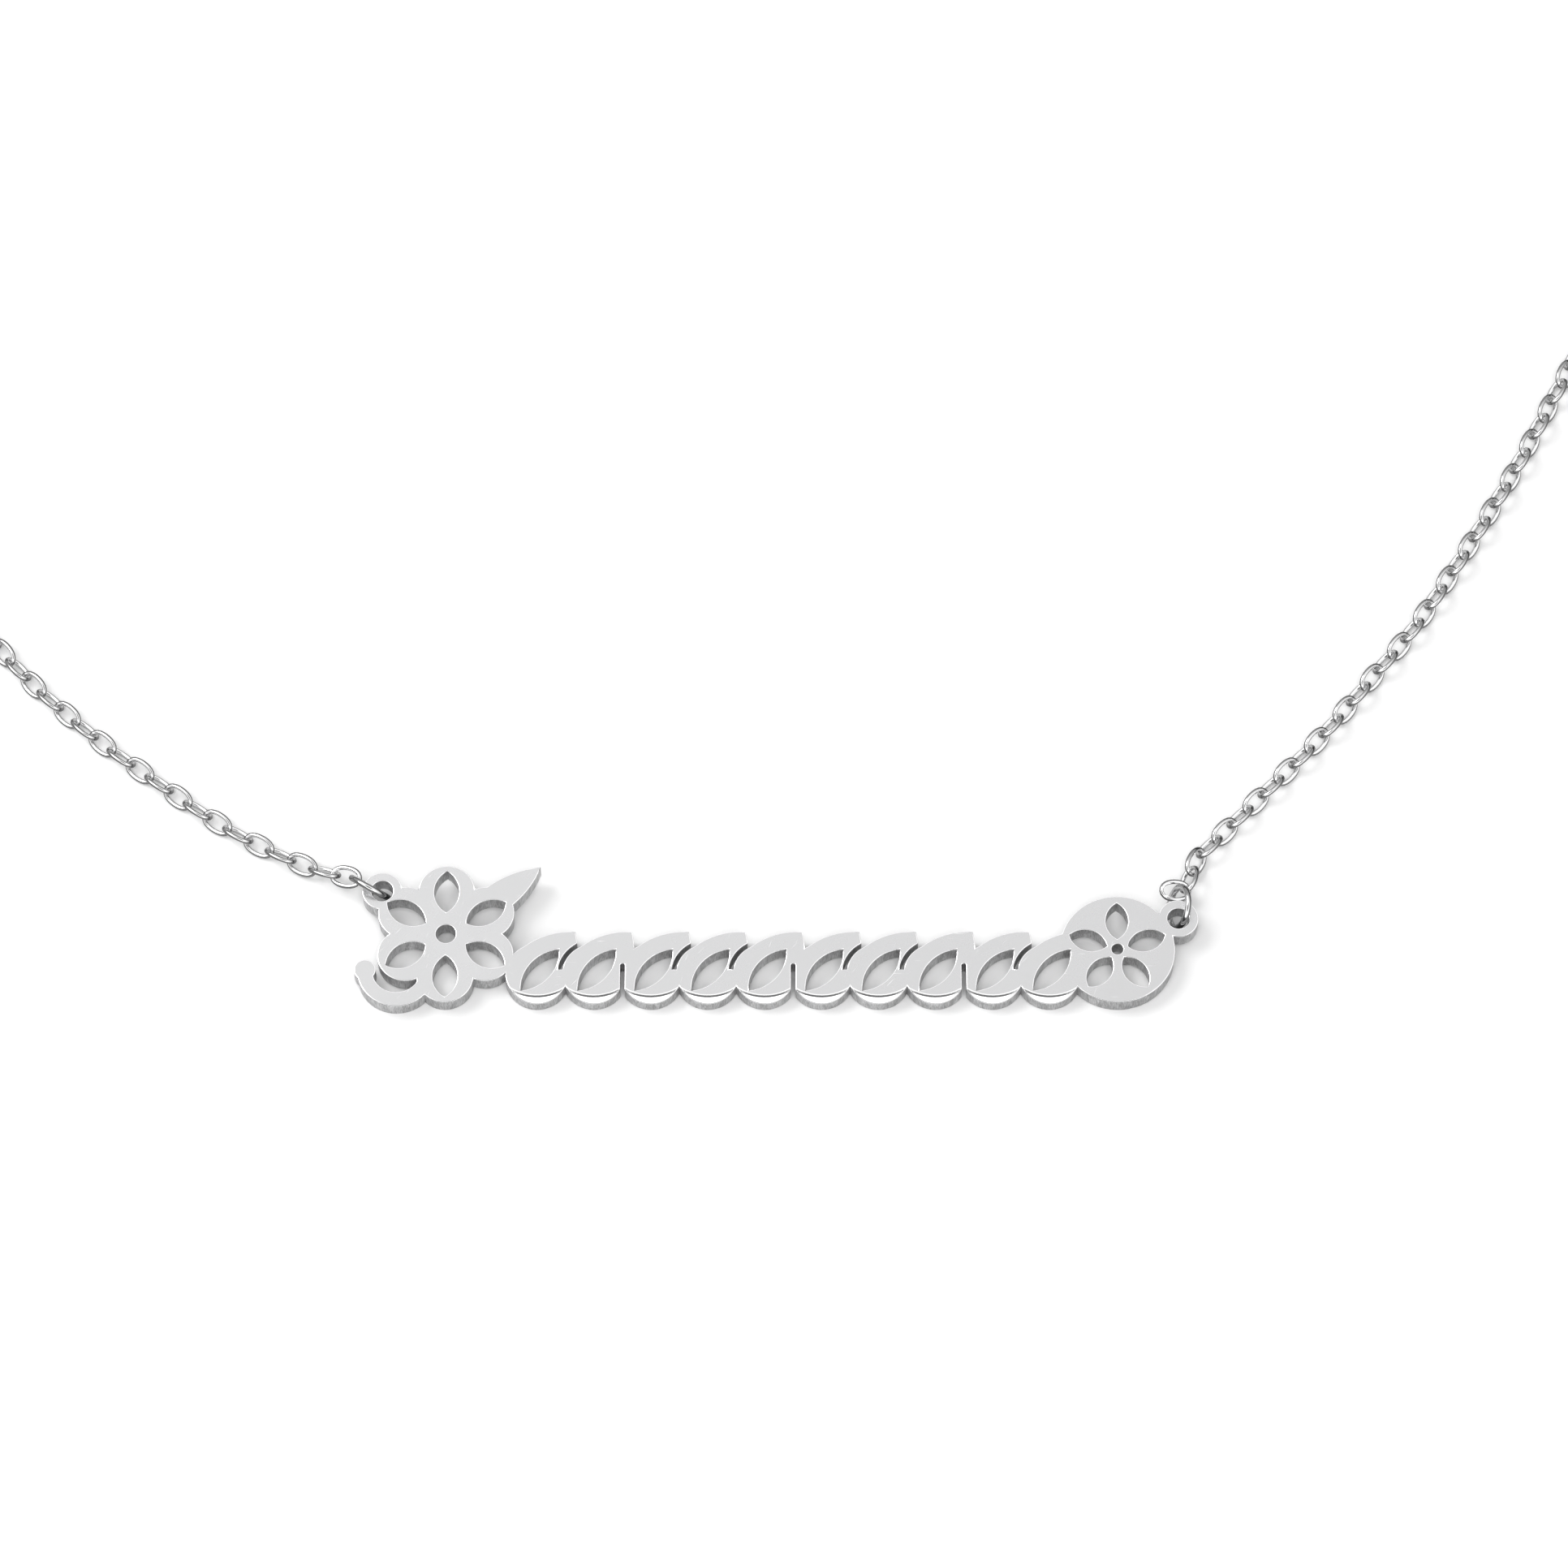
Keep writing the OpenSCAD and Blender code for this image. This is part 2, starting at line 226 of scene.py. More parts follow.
def wire_loop(curve, radius, columns):
    """A round wire along a closed flat curve.

    Point = curve + r (cos v) outward normal + r (sin v) z, for v once round the wire."""
    ahead = np.roll(curve, -1, axis=0) - np.roll(curve, 1, axis=0)
    ahead /= np.linalg.norm(ahead, axis=1, keepdims=True)
    outward = np.stack([ahead[:, 1], -ahead[:, 0]], axis=1)
    v = round_angles(columns)
    plan = curve[:, None, :] + radius * np.cos(v)[None, :, None] * outward[:, None, :]
    height = np.broadcast_to(radius * np.sin(v), plan.shape[:2])
    return np.concatenate([plan, height[..., None]], axis=2).reshape(-1, 3)


def tube_shape(half_length, radius, rounding, columns, steps):
    """A solid tube along x with rounded ends, closed by flat discs.

    At each end x = a - q (1 - sin t) and the radius is R - q (1 - cos t), for t from 0 to 90 degrees."""
    t = np.linspace(0, np.pi / 2, steps)
    x = half_length - rounding * (1 - np.sin(t))
    r = radius - rounding * (1 - np.cos(t))
    x, r = np.concatenate([-x[::-1], x]), np.concatenate([r[::-1], r])
    v = round_angles(columns)
    shape = np.broadcast_arrays(x[:, None], r[:, None] * np.cos(v), r[:, None] * np.sin(v))
    points = np.stack(shape, axis=-1).reshape(-1, 3)
    i, j = np.meshgrid(np.arange(len(x) - 1), np.arange(columns), indexing="ij")
    m = (j + 1) % columns
    quads = [i * columns + j, i * columns + m, (i + 1) * columns + m, (i + 1) * columns + j]
    sides = np.stack(quads, axis=-1).reshape(-1, 4)
    first = np.arange(columns)
    last = first + len(points) - columns
    return points, sides.tolist() + [first[::-1].tolist(), last.tolist()]


def rolled(points, angle):
    """Points turned about x: y' = y cos a - z sin a, z' = y sin a + z cos a."""
    x, y, z = points.T
    return np.stack([x, y * math.cos(angle) - z * math.sin(angle), y * math.sin(angle) + z * math.cos(angle)],
                    axis=1)


def cage_growth(count):
    """How much larger a cage of so many sides is than the round that one smoothing leaves.

    With a step of t = 360 degrees / count it is 2 / ((3 + cos t) / 4 + cos (t / 2))."""
    step = 2 * np.pi / count
    return 2 / ((3 + np.cos(step)) / 4 + np.cos(step / 2))


def solid_of_each_triangle(triangle, corners):
    """How many solids there are, and a number for each triangle that says which one it belongs to.

    Each corner takes the lowest number in its triangles until nothing changes."""
    label = np.arange(corners)
    while True:
        lower = label.copy()
        np.minimum.at(lower, triangle.ravel(), np.repeat(label[triangle].min(axis=1), 3))
        lower = lower[lower]
        if np.array_equal(lower, label):
            break
        label = lower
    names, which = np.unique(label[triangle[:, 0]], return_inverse=True)
    return len(names), which.ravel()


def solids(node):
    """Centre, axes and half sizes of each closed solid of a CAD node.

    Triangles that share a corner are one solid. Its centre is the mean of its surface, and its axes are the
    eigenvectors of the surface's second moment, sum of area / 12 (corners' squares + 9 middle squared), from
    the longest to the shortest."""
    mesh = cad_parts[node].data
    index = values_of(mesh.loops, "vertex_index", kind=np.int64)
    places = np.round(values_of(mesh.vertices, "co", 3), 9)
    corner, joined = np.unique(places, axis=0, return_inverse=True)
    triangle = joined.ravel()[index].reshape(-1, 3)
    count, which = solid_of_each_triangle(triangle, len(corner))
    p = corner[triangle]
    area = np.linalg.norm(np.cross(p[:, 1] - p[:, 0], p[:, 2] - p[:, 0]), axis=1) / 2
    total = np.bincount(which, area)
    middle = p.mean(axis=1)
    centre = np.stack([np.bincount(which, area * middle[:, k]) for k in range(3)], axis=1) / total[:, None]
    q = p - centre[which][:, None, :]
    middle = q.mean(axis=1)
    squares = np.einsum("nci,ncj->nij", q, q) + 9 * np.einsum("ni,nj->nij", middle, middle)
    moment = np.zeros((count, 3, 3))
    np.add.at(moment, which, squares * area[:, None, None] / 12)
    axes = np.linalg.eigh(moment)[1][:, :, ::-1]
    axes[:, :, 2] = np.cross(axes[:, :, 0], axes[:, :, 1])
    along = np.abs(np.einsum("nci,nij->ncj", q, axes[which]))
    half = np.zeros((count, 3))
    np.maximum.at(half, which, along.max(axis=1))
    return centre, axes, half


def wire_rings(name, node, shape, rows, columns, material):
    """One mesh with a wire loop in the place of every solid of a CAD node.

    Point = centre + axes times loop point. Each point also keeps how far out it is on its loop, cos v: 1 on
    the outer side, -1 on the inner one; the wire's finish uses it to paint its dark edge reflection bolder on
    the outer side."""
    centre, axes, half = solids(node)
    half = np.median(half, axis=0)
    radius = half[2]
    grown = cage_growth(rows)
    curve = shape((half[0] - radius) * grown, (half[1] - radius) * grown, rows)
    loop = wire_loop(curve, radius * cage_growth(columns), columns)
    points = centre[:, None, :] + np.einsum("nij,pj->npi", axes, loop)
    faces = closed_grid(rows, columns)[None] + (np.arange(len(centre)) * len(loop))[:, None, None]
    piece = mesh_piece(name, points, faces.reshape(-1, 4).tolist(), [material])
    outer = piece.data.attributes.new("outer_side", "FLOAT", "POINT")
    once = np.cos(round_angles(columns)).astype(np.float32)
    outer.data.foreach_set("value", np.tile(once, rows * len(centre)))
    smooth_once(piece)
    return piece


def seat(piece, node):
    """The piece rides with the necklace and stands for its CAD node, which it hides."""
    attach(piece, "root")
    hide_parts(node)

# Shader nodes that the finishes share

def fill_socket(tree, socket, value):
    """Links a socket, or sets a number, a vector or a colour."""
    if isinstance(value, bpy.types.NodeSocket):
        tree.links.new(value, socket)
    else:
        socket.default_value = value


def link_math(tree, kind, *values, clamp=False):
    """A Math node fed by sockets or numbers."""
    node = tree.nodes.new("ShaderNodeMath")
    node.operation = kind
    node.use_clamp = clamp
    for socket, value in zip(node.inputs, values):
        fill_socket(tree, socket, value)
    return node.outputs[0]


def dot_product(tree, vector, direction):
    """The dot product of a vector socket and a fixed direction."""
    node = tree.nodes.new("ShaderNodeVectorMath")
    node.operation = "DOT_PRODUCT"
    node.inputs[1].default_value = direction
    tree.links.new(vector, node.inputs[0])
    return node.outputs["Value"]


def mixed_color(tree, factor, first, second):
    """The first colour where the factor is 0 and the second where it is 1."""
    mix = tree.nodes.new("ShaderNodeMix")
    mix.data_type = "RGBA"
    for label, value in (("Factor", factor), ("A", first), ("B", second)):
        fill_socket(tree, mix.inputs[label], value)
    return mix.outputs["Result"]


def scaled(color, share):
    """A colour of which only a share is left, with its alpha of 1."""
    return (*(c * share for c in color), 1)


def window(tree, value, low, high):
    """0 below low, 1 above high, and a straight ramp between."""
    node = tree.nodes.new("ShaderNodeMapRange")
    node.clamp = True
    node.inputs["From Min"].default_value = low
    node.inputs["From Max"].default_value = high
    tree.links.new(value, node.inputs["Value"])
    return node.outputs["Result"]


def raised_normal(tree, height, distance):
    """The normal of a surface that is raised by the distance where the height is 1."""
    bump = tree.nodes.new("ShaderNodeBump")
    bump.inputs["Strength"].default_value = 1.0
    bump.inputs["Distance"].default_value = distance
    tree.links.new(height, bump.inputs["Height"])
    return bump.outputs["Normal"]


def stretched_noise(tree, turn, grains, detail=2.0):
    """Noise on Object coordinates, turned and then stretched to so many grains per metre each way."""
    place = tree.nodes.new("ShaderNodeTexCoord")
    turned = tree.nodes.new("ShaderNodeMapping")
    turned.inputs["Rotation"].default_value = turn
    stretched = tree.nodes.new("ShaderNodeVectorMath")
    stretched.operation = "MULTIPLY"
    stretched.inputs[1].default_value = grains
    noise = tree.nodes.new("ShaderNodeTexNoise")
    noise.inputs["Scale"].default_value = 1.0
    noise.inputs["Detail"].default_value = detail
    tree.links.new(place.outputs["Object"], turned.inputs["Vector"])
    tree.links.new(turned.outputs["Vector"], stretched.inputs[0])
    tree.links.new(stretched.outputs["Vector"], noise.inputs["Vector"])
    return noise.outputs["Fac"]


def weighted(tree, first, second, share):
    """Two values in one: share * first + (1 - share) * second."""
    return link_math(tree, "ADD", link_math(tree, "MULTIPLY", first, share),
                     link_math(tree, "MULTIPLY", second, 1 - share))

# Shader groups: each takes an amount and puts out a mask

def mask_group(name, pattern):
    """A node group whose mask is the amount times a pattern, at most 1."""
    group = bpy.data.node_groups.new(name, "ShaderNodeTree")
    amount = group.interface.new_socket("Amount", in_out="INPUT", socket_type="NodeSocketFloat")
    amount.default_value = 1.0
    group.interface.new_socket("Mask", in_out="OUTPUT", socket_type="NodeSocketFloat")
    given = group.nodes.new("NodeGroupInput").outputs["Amount"]
    result = group.nodes.new("NodeGroupOutput").inputs["Mask"]
    group.links.new(link_math(group, "MULTIPLY", pattern(group), given, clamp=True), result)
    return group


def scratches(tree):
    """Sparse short scratches that cross at three angles: the peaks of three noises stretched 16 to 1."""
    total = 0.0
    for angle, tip in ((0.35, 0.0), (1.3, 1.7), (2.4, 3.1)):
        noise = stretched_noise(tree, (0.0, tip, angle), (13000.0, 800.0, 800.0), 1.0)
        total = link_math(tree, "MAXIMUM", window(tree, noise, 0.76, 0.82), total)
    return total


def smudges(tree):
    """Soft cloudy handling marks, a few millimetres wide, with finer mottling in them."""
    broad = stretched_noise(tree, (0.2, 0.1, 0.4), (260.0, 260.0, 260.0), 3.0)
    fine = stretched_noise(tree, (0.5, 0.3, 0.0), (1600.0, 1600.0, 1600.0))
    return window(tree, weighted(tree, broad, fine, 0.7), 0.38, 0.66)


def strokes(tree):
    """Upright cutting strokes: noise with fine grains across and long ones up, in two widths."""
    upright = (0.088, 0.0, 0.0)
    fine = stretched_noise(tree, upright, (16000.0, 16000.0, 450.0), 3.0)
    broad = stretched_noise(tree, upright, (3200.0, 3200.0, 300.0))
    return window(tree, weighted(tree, fine, broad, 0.6), 0.34, 0.66)


EFFECTS = {"handling marks": smudges, "hairline scratches": scratches, "cutting strokes": strokes}


def effect(tree, label, amount):
    """The mask of one of the shared groups, which is built once, or nothing where the amount is 0."""
    if amount == 0:
        return None
    node = tree.nodes.new("ShaderNodeGroup")
    node.node_tree = bpy.data.node_groups.get(label) or mask_group(label, EFFECTS[label])
    node.inputs["Amount"].default_value = amount
    return node.outputs["Mask"]

# Finishes

# How much handling marks and cuts, and hairlines, add to a steel's roughness.
MARK_ROUGHENS = 0.12
HAIRLINE_ROUGHENS = 0.15
# How dark a wire's painted edge reflection is on its loop's inner side, as a share of the outer one, and how
# much earlier, on the scale of Facing, the outer one starts.
INNER_SHARE = 0.45
OUTER_LEAD = 0.17


def painted_dark_edges(tree):
    """A mask of the painted reflection on a wire's edges, which grows as the surface turns away from the eye.

    Facing, 1 - cos (angle to the eye), plus the outer side's lead runs through a ramp, and the result is 1 on
    the loop's outer side and the inner share on the inner one."""
    facing = tree.nodes.new("ShaderNodeLayerWeight")
    facing.inputs["Blend"].default_value = 0.5
    side = tree.nodes.new("ShaderNodeAttribute")
    side.attribute_name = "outer_side"
    outer = window(tree, side.outputs["Fac"], -0.2, 0.5)
    away = link_math(tree, "ADD", facing.outputs["Facing"], link_math(tree, "MULTIPLY", outer, OUTER_LEAD))
    share = link_math(tree, "ADD", link_math(tree, "MULTIPLY", outer, 1 - INNER_SHARE), INNER_SHARE)
    return link_math(tree, "MULTIPLY", window(tree, away, 0.20, 0.37), share)


def new_finish(name):
    """A new material's name, tree and Principled shader."""
    material = bpy.data.materials.new(name)
    material.use_nodes = True
    return material, material.node_tree, material.node_tree.nodes["Principled BSDF"]


def steel(name, color, roughness, dark, marks, hairlines=0.0, cuts=0.0, relief=0.0, painted_edge_dark=0.0):
    """Steel that handling marks and cuts darken, down to a share of its colour, and roughen.

    Hairlines are lighter, half way to white. Cuts, or else hairlines, raise the surface by the relief, in
    metres. The painted edge dark is a painted reflection: it darkens a wire's colour at its edges, more on
    the loop's outer side, for the dark parts of a room that they would mirror."""
    material, tree, shader = new_finish(name)
    shader.inputs["Metallic"].default_value = 1.0
    shade = effect(tree, "handling marks", marks)
    hairline = effect(tree, "hairline scratches", hairlines)
    cut = effect(tree, "cutting strokes", cuts)
    if cut:
        shade = link_math(tree, "ADD", cut, shade, clamp=True)
    shown = mixed_color(tree, shade, scaled(color, 1), scaled(color, dark))
    rough = link_math(tree, "ADD", link_math(tree, "MULTIPLY", shade, MARK_ROUGHENS), roughness)
    if hairline:
        shown = mixed_color(tree, hairline, shown, (*((1 + c) / 2 for c in color), 1))
        rough = link_math(tree, "ADD", rough, link_math(tree, "MULTIPLY", hairline, HAIRLINE_ROUGHENS))
    # Painted reflection: the wire's colour is darkened at its edges, more on the loop's outer side.
    if painted_edge_dark:
        shown = mixed_color(tree, painted_dark_edges(tree), shown, scaled(color, 1 - painted_edge_dark))
    tree.links.new(shown, shader.inputs["Base Color"])
    tree.links.new(rough, shader.inputs["Roughness"])
    if relief:
        tree.links.new(raised_normal(tree, cut or hairline, relief), shader.inputs["Normal"])
    return material


def bevel_finish(s, up, top):
    """Polished steel whose upper strip, the break, leans half way to the face.

    The bump rises with the depth below the face, top - dot (up, point), down to the break's own depth."""
    material = steel("polished bevel", s.rim_color, s.rim_roughness, dark=0.94, marks=0.4)
    tree = material.node_tree
    place = tree.nodes.new("ShaderNodeTexCoord")
    depth = link_math(tree, "SUBTRACT", float(top), dot_product(tree, place.outputs["Object"], up))
    normal = raised_normal(tree, window(tree, depth, 0.0, s.break_depth), s.break_rise)
    tree.links.new(normal, tree.nodes["Principled BSDF"].inputs["Normal"])
    return material


def bright_wire(s):
    """The wire's steel, made once for links and rings."""
    return bpy.data.materials.get("bright wire") or steel(
        "bright wire", s.wire_color, s.wire_roughness, dark=0.90, marks=0.6, hairlines=0.5,
        relief=5e-7, painted_edge_dark=s.wire_painted_edge_dark)


def table_finish(s):
    """Matte white with a barely seen cloudiness, dimmer where the steel mirrors it."""
    material, tree, shader = new_finish("table")
    cloud = window(tree, stretched_noise(tree, (0, 0, 0), (30.0, 30.0, 30.0), 3.0), 0.3, 0.7)
    shown = mixed_color(tree, cloud, scaled(s.table_color, 1), scaled(s.table_color, 0.99))
    seen = tree.nodes.new("ShaderNodeLightPath")
    echo = mixed_color(tree, seen.outputs["Is Glossy Ray"], shown, scaled(s.table_color, s.table_echo))
    tree.links.new(echo, shader.inputs["Base Color"])
    shader.inputs["Roughness"].default_value = 0.6
    shader.inputs["Specular IOR Level"].default_value = 0.2
    return material

# The plate

# Corners closer than this, in metres, are one, and faces that turn less than this, in degrees, are one.
MERGE_WITHIN = 2e-7
FLAT_WITHIN = 0.4
# A face's slope, as the cosine of its angle to the plate's face: a wall is below, the face itself above.
WALL_BELOW = 0.2
FACE_ABOVE = 0.98
# An edge that turns more than this, in degrees, is creased, and one of these stands on a bevel or a wall.
CREASE_OVER = 28
BEVEL_OVER = 25
WALL_OVER = 45
# Share of the edge radius on a wall's rim and on a bevel's. The openings' tips come within 0.153 mm of the
# bevels, so both widths together stay under that.
WALL_RIM = 0.5
BEVEL_RIM = 0.65
# An edge that climbs less than this, in metres, runs along the face.
LEVEL_WITHIN = 0.0004
FACE, WALL, BEVEL = range(3)


def merged_plate():
    """A copy of the plate's CAD mesh with its triangles joined and its flat stretches made one face each."""
    work = bmesh.new()
    work.from_mesh(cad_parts["nameplate"].data)
    bmesh.ops.remove_doubles(work, verts=work.verts, dist=MERGE_WITHIN)
    bmesh.ops.dissolve_limit(work, angle_limit=math.radians(FLAT_WITHIN), verts=work.verts, edges=work.edges,
                             use_dissolve_boundaries=False)
    mesh = bpy.data.meshes.new("plate")
    work.to_mesh(mesh)
    work.free()
    return mesh


def edge_turns(mesh, normal):
    """The angle in degrees by which the surface turns at each edge: arccos of its faces' normals' product."""
    edge = values_of(mesh.loops, "edge_index", kind=np.int64)
    count = values_of(mesh.polygons, "loop_total", kind=np.int64)
    owner = np.repeat(np.arange(len(mesh.polygons)), count)
    pair = owner[np.argsort(edge, kind="stable")].reshape(-1, 2)
    cosine = np.einsum("ni,ni->n", normal[pair[:, 0]], normal[pair[:, 1]])
    return np.degrees(np.arccos(np.clip(cosine, -1, 1)))


class NECKLACE_OT_plate(bpy.types.Operator):
    """The pierced plate: the CAD solid's own surface with polished edges, bright bevels and cut walls"""
    bl_idname = "necklace.plate"
    bl_label = "Plate"

    def execute(self, context):
        s = context.scene.necklace_plate
        mesh = merged_plate()
        normal = values_of(mesh.polygons, "normal", 3)
        area = values_of(mesh.polygons, "area")
        up = normal[np.argmax(np.where(normal[:, 2] > 0, area, 0))]
        level = values_of(mesh.vertices, "co", 3) @ up
        for finish in (
                steel("satin face", s.face_color, s.face_roughness, dark=0.94, marks=0.8, hairlines=0.8,
                      relief=4e-7),
                steel("cut wall", s.wall_color, s.wall_roughness, dark=0.50, marks=0.2, cuts=1.0,
                      relief=8e-6),
                bevel_finish(s, up, level.max())):
            mesh.materials.append(finish)
        facing = normal @ up
        slope = (facing > WALL_BELOW) & (facing < FACE_ABOVE)
        kind = np.select([np.abs(facing) < WALL_BELOW, slope], [WALL, BEVEL], FACE)
        mesh.polygons.foreach_set("material_index", kind.astype(np.int32))
        mesh.polygons.foreach_set("use_smooth", np.ones(len(mesh.polygons), dtype=bool))
        self.mark_edges(mesh, edge_turns(mesh, normal), level)
        piece = bpy.data.objects.new("plate", mesh)
        context.scene.collection.objects.link(piece)
        rim = piece.modifiers.new("polished edge", "BEVEL")
        rim.limit_method = "WEIGHT"
        rim.width = s.edge_radius
        rim.segments = s.edge_steps
        rim.use_clamp_overlap = False
        rim.material = BEVEL
        rim.harden_normals = True
        seat(piece, "nameplate")
        return {"FINISHED"}

    @staticmethod
    def mark_edges(mesh, turn, level):
        """Creases every sharp edge, and gives those round the face the width of their polished rim."""
        ends = level[values_of(mesh.edges, "vertices", 2, np.int64)]
        low, high = ends.min(axis=1), ends.max(axis=1)
        round_face = (low > (ends.min() + ends.max()) / 2) & (high - low < LEVEL_WITHIN) & (turn > BEVEL_OVER)
        rim = np.where(turn > WALL_OVER, WALL_RIM, BEVEL_RIM)
        weight = mesh.attributes.new("bevel_weight_edge", "FLOAT", "EDGE")
        weight.data.foreach_set("value", np.where(round_face, rim, 0).astype(np.float32))
        sharp = mesh.attributes.new("sharp_edge", "BOOLEAN", "EDGE")
        sharp.data.foreach_set("value", turn > CREASE_OVER)
        mesh.update()

# The chains, rings and clasp

class NECKLACE_OT_chains(bpy.types.Operator):
    """The two runs of oval cable links, each link in its CAD solid's place"""
    bl_idname = "necklace.chains"
    bl_label = "Chains"

    def execute(self, context):
        s = context.scene.necklace_wire

        def link_shape(a, b, rows):
            return oval(a, b, s.link_squareness, rows)

        for side in ("left", "right"):
            piece = wire_rings(f"links_{side}", f"chain_{side}", link_shape, s.link_steps, s.link_sides,
                               bright_wire(s))
            seat(piece, f"chain_{side}")
        return {"FINISHED"}


class NECKLACE_OT_jump_rings(bpy.types.Operator):
    """The round jump rings through the plate's eyelets"""
    bl_idname = "necklace.jump_rings"
    bl_label = "Jump rings"

    def execute(self, context):
        s = context.scene.necklace_wire

        def ring_shape(a, b, rows):
            return oval((a + b) / 2, (a + b) / 2, 2.0, rows)

        for side in ("left", "right"):
            piece = wire_rings(f"ring_{side}", f"jump_ring_{side}", ring_shape, s.ring_steps, s.ring_sides,
                               bright_wire(s))
            seat(piece, f"jump_ring_{side}")
        return {"FINISHED"}


class NECKLACE_OT_clasp(bpy.types.Operator):
    """The plain tube clasp with an eye at each end"""
    bl_idname = "necklace.clasp"
    bl_label = "Clasp"

    def execute(self, context):
        s = context.scene.necklace_clasp
        fullness = context.scene.necklace_wire.link_squareness
        low, high = (np.array(corner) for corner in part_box("clasp"))
        middle = (low + high) / 2
        reach = (high[0] - low[0] - s.eye_length) / 2
        radius = (high[2] - low[2]) / 2
        tube, faces = tube_shape(reach - s.eye_out, radius, s.end_radius, s.tube_sides, s.end_steps)
        wire = s.eye_wire / 2
        curve = oval(s.eye_length / 2 - wire, s.eye_width / 2 - wire, fullness, s.eye_steps)
        loop = wire_loop(curve, wire, s.eye_sides)
        points = [tube + middle]
        for number, side in enumerate((-1, 1)):
            place = (middle[0] + side * reach, middle[1], s.eye_height)
            points.append(rolled(loop, side * s.eye_roll) + place)
            start = len(tube) + number * len(loop)
            faces += (closed_grid(s.eye_steps, s.eye_sides) + start).tolist()
        finish = steel("clasp steel", s.color, s.roughness, dark=0.88, marks=0.7, hairlines=0.6,
                       relief=6e-7)
        piece = mesh_piece("tube_clasp", np.concatenate(points), faces, [finish])
        seat(piece, "clasp")
        return {"FINISHED"}

# The stage

# The table's half width, and how near and far the camera sees, in metres.
TABLE_HALF = 3.0
SEES_FROM, SEES_TO = 0.01, 20
# The width of the camera's sensor, in millimetres.
SENSOR_WIDTH = 36
# Soft lights: direction from the looked-at point, distance, width and depth in metres. The last one shines
# from the camera's own direction.
KEY_BOX = ((-0.58, 0.20, 0.79), 1.20, 0.72, 0.66)
FRONT_BOX = ((0.0, -0.84, 0.54), 1.40, 1.60, 0.40)
BESIDE_BOX = (1.30, 0.90, 0.90)
# The mirrored tent's dark skirt is highest along this line, toward the back right and the front left.
SKIRT_TOWARD = (0.64, 0.77, 0)
# How much lower it is across that line, as a sine.
SKIRT_FALLS = 0.40
# The share of light left in the skirt, and the angle over which it ends.
SKIRT_LIGHT = 0.04
SKIRT_RAMP = math.radians(6)
# The share of light that the gap takes, and half the angle over which it ends.
GAP_DEPTH = 0.88
GAP_RAMP = math.radians(4)


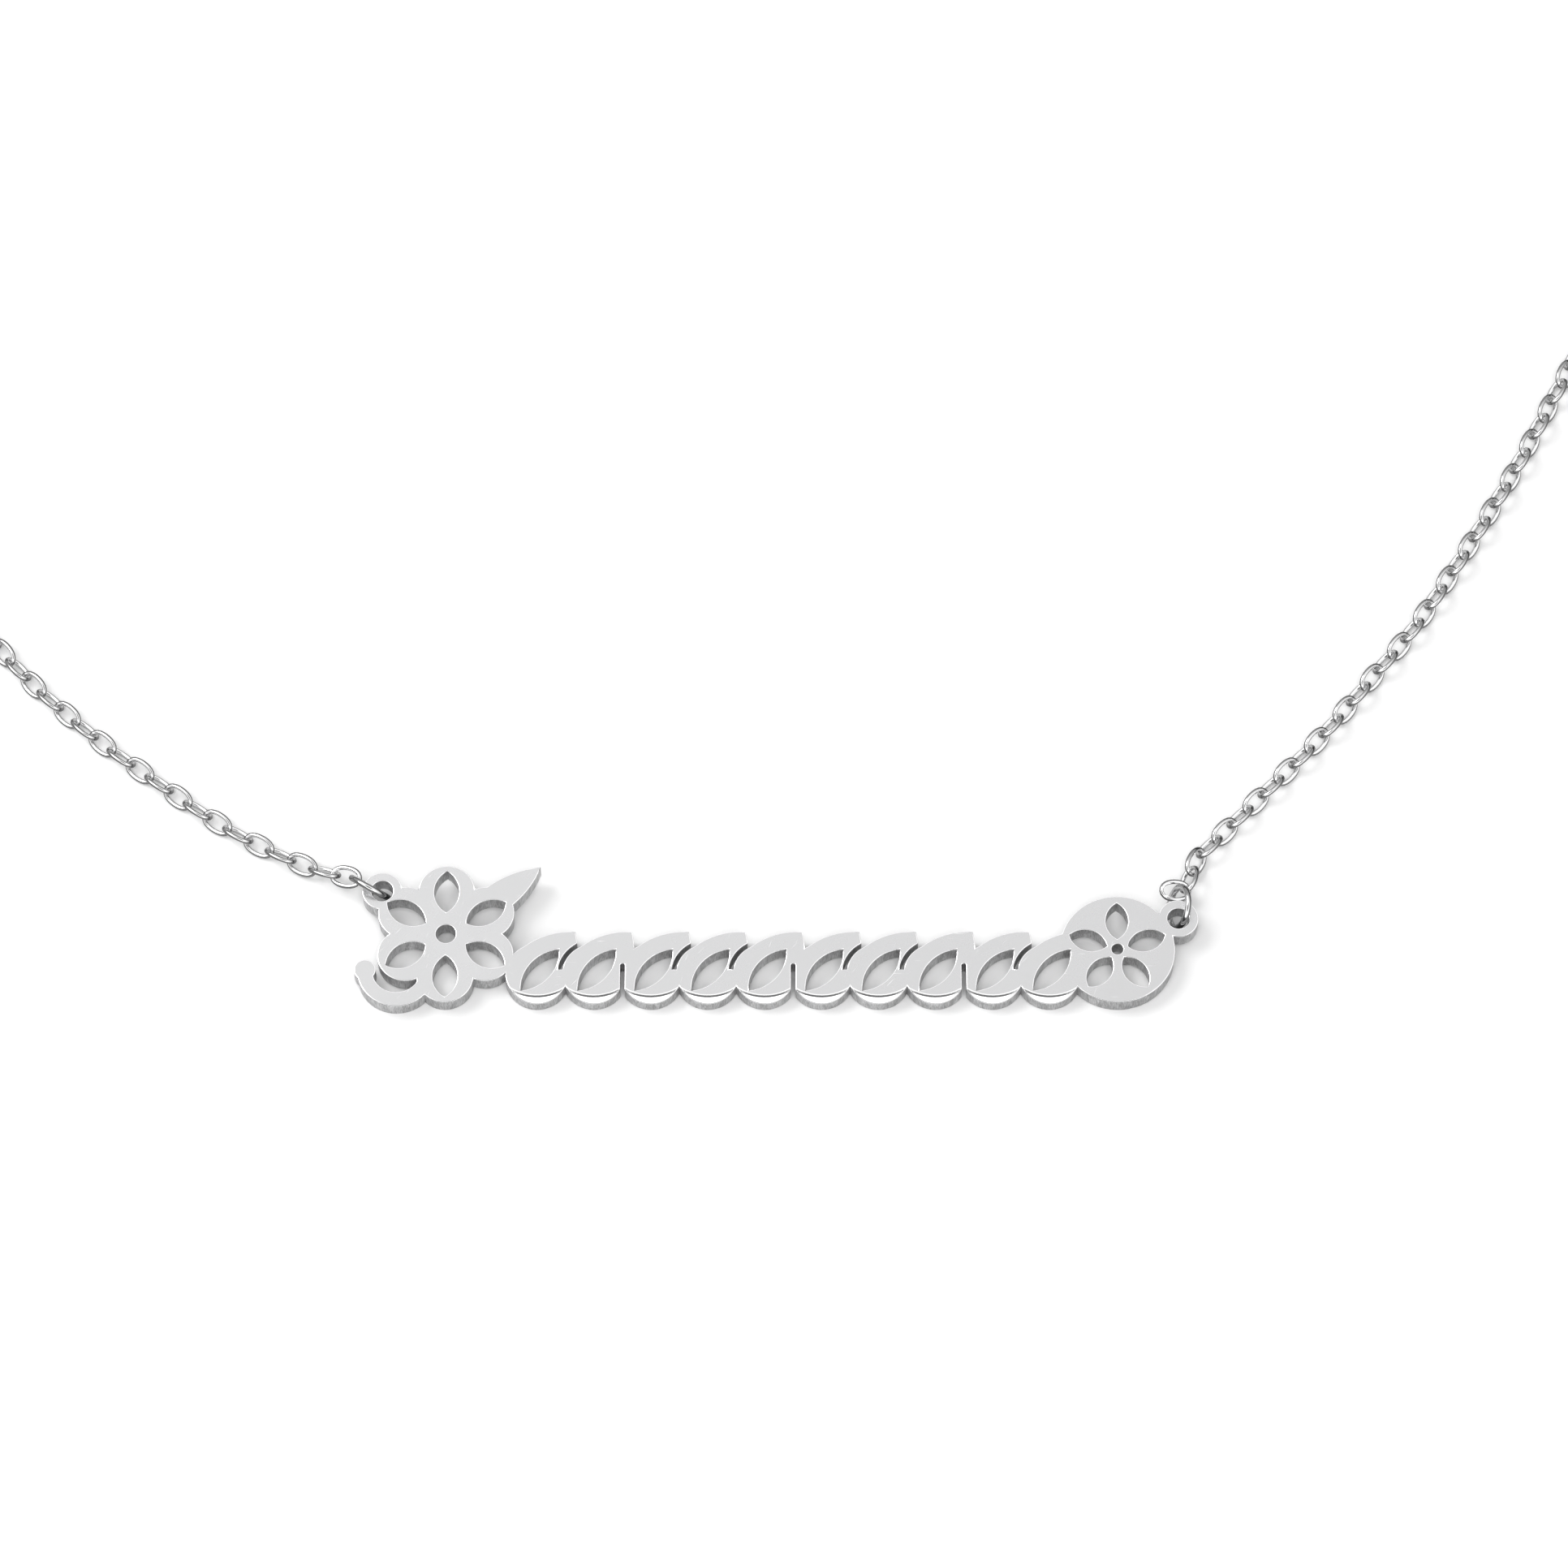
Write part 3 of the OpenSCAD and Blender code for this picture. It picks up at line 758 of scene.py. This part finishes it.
class NECKLACE_OT_stage(bpy.types.Operator):
    """White table, soft light from the upper left, white surroundings and the camera"""
    bl_idname = "necklace.stage"
    bl_label = "Stage"

    def execute(self, context):
        s = context.scene.necklace_studio
        scene = context.scene
        half = TABLE_HALF
        corners = np.array([[-half, -half, 0], [half, -half, 0], [half, half, 0], [-half, half, 0]])
        table = mesh_piece("table", corners, [[0, 1, 2, 3]], [table_finish(s)], smooth=False)
        back = Vector((0, -math.cos(s.elevation), math.sin(s.elevation)))
        self.soft_box(scene, s, "key", s.key, *KEY_BOX)
        self.soft_box(scene, s, "front", s.front, *FRONT_BOX)
        self.soft_box(scene, s, "beside", s.beside, back, *BESIDE_BOX).visible_glossy = False
        self.surroundings(scene, s)
        lens = bpy.data.cameras.new("camera")
        lens.lens = s.lens
        lens.sensor_width = SENSOR_WIDTH
        lens.clip_start, lens.clip_end = SEES_FROM, SEES_TO
        camera = bpy.data.objects.new("camera", lens)
        camera.location = Vector(s.target) + s.distance * back
        camera.rotation_euler = (-back).to_track_quat("-Z", "Y").to_euler()
        scene.collection.objects.link(camera)
        scene.camera = camera
        scene.view_settings.view_transform = "Standard"
        return {"FINISHED"}

    @staticmethod
    def soft_box(scene, s, name, brightness, toward, distance, width, depth):
        """A rectangular light of even brightness that faces the looked-at point and isn't seen itself."""
        light = bpy.data.lights.new(name, "AREA")
        light.shape = "RECTANGLE"
        light.size, light.size_y = width, depth
        light.energy = brightness * math.pi * width * depth
        box = bpy.data.objects.new(name, light)
        away = Vector(toward).normalized()
        box.location = Vector(s.target) + distance * away
        box.rotation_euler = (-away).to_track_quat("-Z", "Y").to_euler()
        box.visible_camera = False
        scene.collection.objects.link(box)
        return box

    @staticmethod
    def surroundings(scene, s):
        """A white tent: the steel mirrors it with its dark parts, the table takes a share of its light, and
        the camera sees it white.

        Mirrored brightness = (light left by the skirt) * (1 - depth of the gap). The skirt is dark where
        z + fall * (1 - dot^2) is under the sine of its angle, where dot is the product of the direction and
        the skirt's own. The gap is dark where the angle to its middle is small, and draws the dark line above
        the bevels."""
        world = bpy.data.worlds.new("surroundings")
        world.use_nodes = True
        scene.world = world
        tree = world.node_tree
        direction = tree.nodes.new("ShaderNodeTexCoord").outputs["Generated"]
        split = tree.nodes.new("ShaderNodeSeparateXYZ")
        tree.links.new(direction, split.inputs["Vector"])
        across = dot_product(tree, direction, SKIRT_TOWARD)
        sideways = link_math(tree, "SUBTRACT", 1.0, link_math(tree, "MULTIPLY", across, across))
        fall = link_math(tree, "MULTIPLY", sideways, SKIRT_FALLS)
        height = link_math(tree, "ADD", split.outputs["Z"], fall)
        bright = window(tree, height, math.sin(s.skirt), math.sin(s.skirt + SKIRT_RAMP))
        left = link_math(tree, "ADD", link_math(tree, "MULTIPLY", bright, 1 - SKIRT_LIGHT), SKIRT_LIGHT)
        gap_toward = (0, -math.cos(s.gap_height), math.sin(s.gap_height))
        gap = window(tree, dot_product(tree, direction, gap_toward),
                     math.cos(s.gap_size + GAP_RAMP), math.cos(s.gap_size - GAP_RAMP))
        beside_gap = link_math(tree, "SUBTRACT", 1.0, link_math(tree, "MULTIPLY", gap, GAP_DEPTH))
        ray = tree.nodes.new("ShaderNodeLightPath").outputs
        mirrored = link_math(tree, "MULTIPLY", link_math(tree, "MULTIPLY", left, beside_gap),
                             ray["Is Glossy Ray"])
        falling = link_math(tree, "MULTIPLY", ray["Is Diffuse Ray"], s.fill)
        lit = link_math(tree, "ADD", link_math(tree, "ADD", mirrored, falling), ray["Is Camera Ray"])
        shade = tree.nodes["Background"]
        shade.inputs["Color"].default_value = (1, 1, 1, 1)
        tree.links.new(link_math(tree, "MULTIPLY", lit, s.tent), shade.inputs["Strength"])


class NECKLACE_PT_panel(bpy.types.Panel):
    """The necklace's sizes, colours and steps"""
    bl_idname = "NECKLACE_PT_panel"
    bl_label = "Necklace"
    bl_space_type = "VIEW_3D"
    bl_region_type = "UI"
    bl_category = "Necklace"

    def draw(self, context):
        for label, kind in SETTINGS.items():
            box = self.layout.box()
            for prop in kind.__annotations__:
                box.prop(getattr(context.scene, label), prop)
        for operator in OPERATORS:
            self.layout.operator(operator.bl_idname)


OPERATORS = (
    NECKLACE_OT_stage,
    NECKLACE_OT_plate,
    NECKLACE_OT_jump_rings,
    NECKLACE_OT_chains,
    NECKLACE_OT_clasp,
)


def register():
    for kind in (*SETTINGS.values(), *OPERATORS, NECKLACE_PT_panel):
        bpy.utils.register_class(kind)
    for label, kind in SETTINGS.items():
        setattr(bpy.types.Scene, label, bpy.props.PointerProperty(type=kind))


def unregister():
    for label in SETTINGS:
        delattr(bpy.types.Scene, label)
    for kind in reversed((*SETTINGS.values(), *OPERATORS, NECKLACE_PT_panel)):
        bpy.utils.unregister_class(kind)


def main():
    register()
    bpy.ops.necklace.stage()
    bpy.ops.necklace.plate()
    bpy.ops.necklace.jump_rings()
    bpy.ops.necklace.chains()
    bpy.ops.necklace.clasp()


if __name__ == "__main__":
    main()
